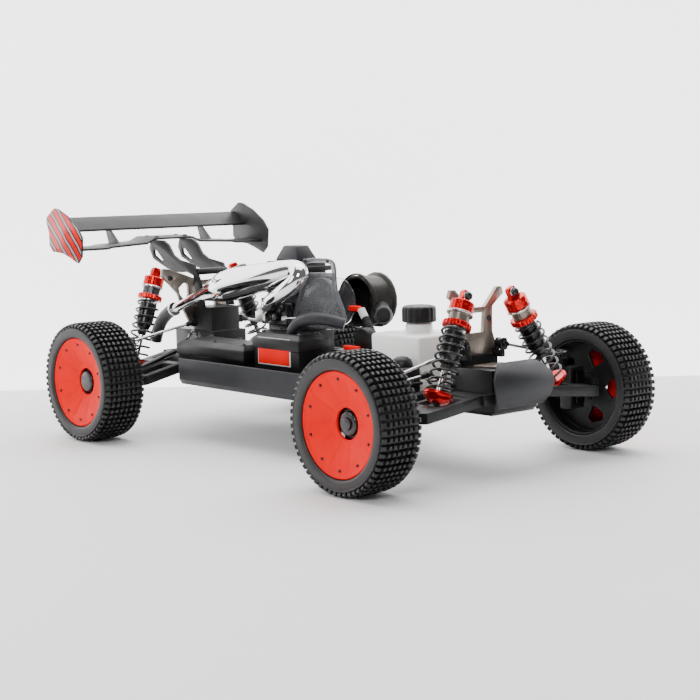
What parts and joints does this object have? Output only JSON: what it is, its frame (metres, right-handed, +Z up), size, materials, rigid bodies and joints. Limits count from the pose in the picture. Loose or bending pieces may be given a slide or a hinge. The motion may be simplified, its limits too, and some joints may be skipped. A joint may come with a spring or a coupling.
{
  "type": "rc buggy",
  "caption": "Radio-controlled petrol off-road buggy with working steering, sprung arms, coil-over shocks, turning wheels, rear wing and tuned exhaust.",
  "frame": {"origin": "on the floor under the middle of the overall box, tyres standing on Z = 0", "axes": "+X forward, +Y to the car's left, +Z up"},
  "size_m": [0.835, 0.489, 0.331],
  "materials": {
    "tyre_rubber": "matt",
    "red_nylon": "satin",
    "red_anodised": "anodised",
    "silver_alloy": "satin",
    "tower_alloy": "brushed",
    "black_plastic": "satin",
    "slate_plastic": "matt",
    "spring_steel": "black coated",
    "dark_steel": "oiled",
    "engine_alloy": "cast",
    "bright_chrome": "polished",
    "smoked_clear": "clear",
    "tank_white": "translucent"
  },
  "bodies": {
    "chassis": {"chassis_plate": "dark_steel", "left_side_guard": "slate_plastic", "right_side_guard": "slate_plastic", "left_wing_end_plate": "black_plastic", "right_wing_end_plate": "black_plastic", "front_bumper": "slate_plastic", "front_bulkhead": "black_plastic", "front_shock_tower": "tower_alloy", "rear_gearbox": "black_plastic", "rear_shock_tower": "tower_alloy", "wing_mount": "black_plastic", "wing": "black_plastic", "engine": "engine_alloy", "engine_shroud": "slate_plastic", "tuned_exhaust": "bright_chrome", "fan_housing": "dark_steel", "clear_guard": "smoked_clear", "fuel_tank": "tank_white", "battery_box": "black_plastic", "radio_box": "black_plastic"},
    "filler_cap": {"fuel_cap": "black_plastic"},
    "steering": {"steering_link": "tower_alloy"},
    "front_left_arm": {"front_left_lower_arm": "black_plastic"},
    "front_left_carrier": {"front_left_spindle_carrier": "black_plastic"},
    "front_left_hub": {"front_left_steering_knuckle": "dark_steel"},
    "front_left_wheel_set": {"front_left_tyre": "tyre_rubber", "front_left_wheel": "red_nylon"},
    "front_left_link": {"front_left_camber_link": "silver_alloy"},
    "front_left_tie": {"front_left_tie_rod": "silver_alloy"},
    "front_left_shock_upper": {"front_left_shock_body": "silver_alloy", "front_left_spring": "spring_steel"},
    "front_left_shock_lower": {"front_left_shock_rod": "red_anodised"},
    "front_right_arm": {"front_right_lower_arm": "black_plastic"},
    "front_right_carrier": {"front_right_spindle_carrier": "black_plastic"},
    "front_right_hub": {"front_right_steering_knuckle": "dark_steel"},
    "front_right_wheel_set": {"front_right_tyre": "tyre_rubber", "front_right_wheel": "red_nylon"},
    "front_right_link": {"front_right_camber_link": "silver_alloy"},
    "front_right_tie": {"front_right_tie_rod": "silver_alloy"},
    "front_right_shock_upper": {"front_right_shock_body": "silver_alloy", "front_right_spring": "spring_steel"},
    "front_right_shock_lower": {"front_right_shock_rod": "red_anodised"},
    "rear_left_arm": {"rear_left_lower_arm": "black_plastic"},
    "rear_left_carrier": {"rear_left_hub_carrier": "black_plastic"},
    "rear_left_wheel_set": {"rear_left_tyre": "tyre_rubber", "rear_left_wheel": "red_nylon"},
    "rear_left_link": {"rear_left_camber_link": "silver_alloy"},
    "rear_left_drive": {"rear_left_drive_shaft": "dark_steel"},
    "rear_left_shock_upper": {"rear_left_shock_body": "silver_alloy", "rear_left_spring": "spring_steel"},
    "rear_left_shock_lower": {"rear_left_shock_rod": "red_anodised"},
    "rear_right_arm": {"rear_right_lower_arm": "black_plastic"},
    "rear_right_carrier": {"rear_right_hub_carrier": "black_plastic"},
    "rear_right_wheel_set": {"rear_right_tyre": "tyre_rubber", "rear_right_wheel": "red_nylon"},
    "rear_right_link": {"rear_right_camber_link": "silver_alloy"},
    "rear_right_drive": {"rear_right_drive_shaft": "dark_steel"},
    "rear_right_shock_upper": {"rear_right_shock_body": "silver_alloy", "rear_right_spring": "spring_steel"},
    "rear_right_shock_lower": {"rear_right_shock_rod": "red_anodised"}
  },
  "joints": [
    {"name": "fuel_cap_turn", "type": "hinge", "parent": "chassis", "child": "filler_cap", "pos_m": [0.2205, 0, 0.1805], "axis": [0, 0, 1], "range_deg": [0, 360]},
    {"name": "steering_slide", "type": "slide", "parent": "chassis", "child": "steering", "axis": [0, 1, 0], "range_m": [-0.0121, 0.0121]},
    {"name": "front_left_arm_swing", "type": "hinge", "parent": "chassis", "child": "front_left_arm", "pos_m": [0.3325, 0.05, 0.099], "axis": [1, 0, 0], "range_deg": [-6, 20], "stiffness_Nm_per_rad": 30, "springref_deg": -5.73},
    {"name": "front_left_carrier_swing", "type": "hinge", "parent": "front_left_arm", "child": "front_left_carrier", "pos_m": [0.3325, 0.16, 0.088], "axis": [1, 0, 0], "range_deg": [-20.05, 6.05]},
    {"name": "front_left_steer", "type": "hinge", "parent": "front_left_carrier", "child": "front_left_hub", "pos_m": [0.3325, 0.178, 0.085], "axis": [0, 0, 1], "range_deg": [-20, 20]},
    {"name": "front_left_wheel_spin", "type": "hinge", "parent": "front_left_hub", "child": "front_left_wheel_set", "pos_m": [0.3325, 0.2135, 0.085], "axis": [0, 1, 0], "continuous": true},
    {"name": "front_left_link_swing", "type": "hinge", "parent": "chassis", "child": "front_left_link", "pos_m": [0.3345, 0.033, 0.158], "axis": [1, 0, 0], "range_deg": [-5.27, 17.44]},
    {"name": "front_left_tie_rod_swing", "type": "hinge", "parent": "steering", "child": "front_left_tie", "pos_m": [0.2985, 0.06, 0.1235], "axis": [1, 0, 0], "range_deg": [-5.94, 19.7]},
    {"name": "front_left_shock_swing", "type": "hinge", "parent": "chassis", "child": "front_left_shock_upper", "pos_m": [0.3455, 0.0415, 0.223], "axis": [1, 0, 0], "range_deg": [-1.27, 4.12]},
    {"name": "front_left_shock_slide", "type": "slide", "parent": "front_left_shock_upper", "child": "front_left_shock_lower", "axis": [-0.1078, -0.4684, 0.8769], "range_m": [-0.00572, 0.01882], "deforming": ["front_left_spring"]},
    {"name": "front_right_arm_swing", "type": "hinge", "parent": "chassis", "child": "front_right_arm", "pos_m": [0.3325, -0.05, 0.099], "axis": [-1, 0, 0], "range_deg": [-6, 20], "stiffness_Nm_per_rad": 30, "springref_deg": -5.73},
    {"name": "front_right_carrier_swing", "type": "hinge", "parent": "front_right_arm", "child": "front_right_carrier", "pos_m": [0.3325, -0.16, 0.088], "axis": [-1, 0, 0], "range_deg": [-20.05, 6.05]},
    {"name": "front_right_steer", "type": "hinge", "parent": "front_right_carrier", "child": "front_right_hub", "pos_m": [0.3325, -0.178, 0.085], "axis": [0, 0, 1], "range_deg": [-20.1, 20.1]},
    {"name": "front_right_wheel_spin", "type": "hinge", "parent": "front_right_hub", "child": "front_right_wheel_set", "pos_m": [0.3325, -0.2135, 0.085], "axis": [0, 1, 0], "continuous": true},
    {"name": "front_right_link_swing", "type": "hinge", "parent": "chassis", "child": "front_right_link", "pos_m": [0.3345, -0.033, 0.158], "axis": [-1, 0, 0], "range_deg": [-5.27, 17.44]},
    {"name": "front_right_tie_rod_swing", "type": "hinge", "parent": "steering", "child": "front_right_tie", "pos_m": [0.2985, -0.06, 0.1235], "axis": [-1, 0, 0], "range_deg": [-5.94, 19.7]},
    {"name": "front_right_shock_swing", "type": "hinge", "parent": "chassis", "child": "front_right_shock_upper", "pos_m": [0.3455, -0.0415, 0.223], "axis": [-1, 0, 0], "range_deg": [-1.27, 4.12]},
    {"name": "front_right_shock_slide", "type": "slide", "parent": "front_right_shock_upper", "child": "front_right_shock_lower", "axis": [-0.1078, 0.4684, 0.8769], "range_m": [-0.00572, 0.01882], "deforming": ["front_right_spring"]},
    {"name": "rear_left_arm_swing", "type": "hinge", "parent": "chassis", "child": "rear_left_arm", "pos_m": [-0.2375, 0.045, 0.105], "axis": [1, 0, 0], "range_deg": [-6, 20], "stiffness_Nm_per_rad": 30, "springref_deg": -5.73},
    {"name": "rear_left_carrier_swing", "type": "hinge", "parent": "rear_left_arm", "child": "rear_left_carrier", "pos_m": [-0.2375, 0.163, 0.08], "axis": [1, 0, 0], "range_deg": [-20.05, 6.05]},
    {"name": "rear_left_wheel_spin", "type": "hinge", "parent": "rear_left_carrier", "child": "rear_left_wheel_set", "pos_m": [-0.2375, 0.2125, 0.085], "axis": [0, 1, 0], "continuous": true},
    {"name": "rear_left_link_swing", "type": "hinge", "parent": "chassis", "child": "rear_left_link", "pos_m": [-0.2245, 0.044, 0.157], "axis": [1, 0, 0], "range_deg": [-6.01, 19.92]},
    {"name": "rear_left_drive_shaft_swing", "type": "hinge", "parent": "chassis", "child": "rear_left_drive", "pos_m": [-0.2375, 0.0405, 0.123], "axis": [1, 0, 0], "range_deg": [-5.42, 17.97]},
    {"name": "rear_left_shock_swing", "type": "hinge", "parent": "chassis", "child": "rear_left_shock_upper", "pos_m": [-0.2765, 0.0735, 0.2325], "axis": [1, 0, 0], "range_deg": [-1.61, 5.24]},
    {"name": "rear_left_shock_slide", "type": "slide", "parent": "rear_left_shock_upper", "child": "rear_left_shock_lower", "axis": [-0.0646, -0.3457, 0.9361], "range_m": [-0.0079, 0.02609], "deforming": ["rear_left_spring"]},
    {"name": "rear_right_arm_swing", "type": "hinge", "parent": "chassis", "child": "rear_right_arm", "pos_m": [-0.2375, -0.045, 0.105], "axis": [-1, 0, 0], "range_deg": [-6, 20], "stiffness_Nm_per_rad": 30, "springref_deg": -5.73},
    {"name": "rear_right_carrier_swing", "type": "hinge", "parent": "rear_right_arm", "child": "rear_right_carrier", "pos_m": [-0.2375, -0.163, 0.08], "axis": [-1, 0, 0], "range_deg": [-20.05, 6.05]},
    {"name": "rear_right_wheel_spin", "type": "hinge", "parent": "rear_right_carrier", "child": "rear_right_wheel_set", "pos_m": [-0.2375, -0.2125, 0.085], "axis": [0, 1, 0], "continuous": true},
    {"name": "rear_right_link_swing", "type": "hinge", "parent": "chassis", "child": "rear_right_link", "pos_m": [-0.2245, -0.044, 0.157], "axis": [-1, 0, 0], "range_deg": [-6.01, 19.92]},
    {"name": "rear_right_drive_shaft_swing", "type": "hinge", "parent": "chassis", "child": "rear_right_drive", "pos_m": [-0.2375, -0.0405, 0.123], "axis": [-1, 0, 0], "range_deg": [-5.42, 17.97]},
    {"name": "rear_right_shock_swing", "type": "hinge", "parent": "chassis", "child": "rear_right_shock_upper", "pos_m": [-0.2765, -0.0735, 0.2325], "axis": [-1, 0, 0], "range_deg": [-1.61, 5.24]},
    {"name": "rear_right_shock_slide", "type": "slide", "parent": "rear_right_shock_upper", "child": "rear_right_shock_lower", "axis": [-0.0646, 0.3457, 0.9361], "range_m": [-0.0079, 0.02609], "deforming": ["rear_right_spring"]}
  ],
  "couplings": [
    {"joint": "front_left_carrier_swing", "follows": "front_left_arm_swing", "ratio": -1},
    {"joint": "front_left_link_swing", "follows": "front_left_arm_swing", "ratio": 0.86932},
    {"joint": "front_left_tie_rod_swing", "follows": "front_left_arm_swing", "ratio": 0.98231},
    {"joint": "front_left_shock_swing", "follows": "front_left_arm_swing", "ratio": 0.20339},
    {"joint": "front_left_shock_slide", "follows": "front_left_arm_swing", "m_per_rad": 0.05363},
    {"joint": "front_right_carrier_swing", "follows": "front_right_arm_swing", "ratio": -1},
    {"joint": "front_right_steer", "follows": "front_left_steer", "ratio": 1},
    {"joint": "front_right_link_swing", "follows": "front_right_arm_swing", "ratio": 0.86932},
    {"joint": "front_right_tie_rod_swing", "follows": "front_right_arm_swing", "ratio": 0.98231},
    {"joint": "front_right_shock_swing", "follows": "front_right_arm_swing", "ratio": 0.20339},
    {"joint": "front_right_shock_slide", "follows": "front_right_arm_swing", "m_per_rad": 0.05363},
    {"joint": "rear_left_carrier_swing", "follows": "rear_left_arm_swing", "ratio": -1},
    {"joint": "rear_left_link_swing", "follows": "rear_left_arm_swing", "ratio": 0.99335},
    {"joint": "rear_left_drive_shaft_swing", "follows": "rear_left_arm_swing", "ratio": 0.89585},
    {"joint": "rear_left_shock_swing", "follows": "rear_left_arm_swing", "ratio": 0.25935},
    {"joint": "rear_left_shock_slide", "follows": "rear_left_arm_swing", "m_per_rad": 0.07444},
    {"joint": "rear_right_carrier_swing", "follows": "rear_right_arm_swing", "ratio": -1},
    {"joint": "rear_right_link_swing", "follows": "rear_right_arm_swing", "ratio": 0.99335},
    {"joint": "rear_right_drive_shaft_swing", "follows": "rear_right_arm_swing", "ratio": 0.89585},
    {"joint": "rear_right_shock_swing", "follows": "rear_right_arm_swing", "ratio": 0.25935},
    {"joint": "rear_right_shock_slide", "follows": "rear_right_arm_swing", "m_per_rad": 0.07444},
    {"joint": "steering_slide", "follows": "front_left_steer", "m_per_rad": -0.034}
  ]
}
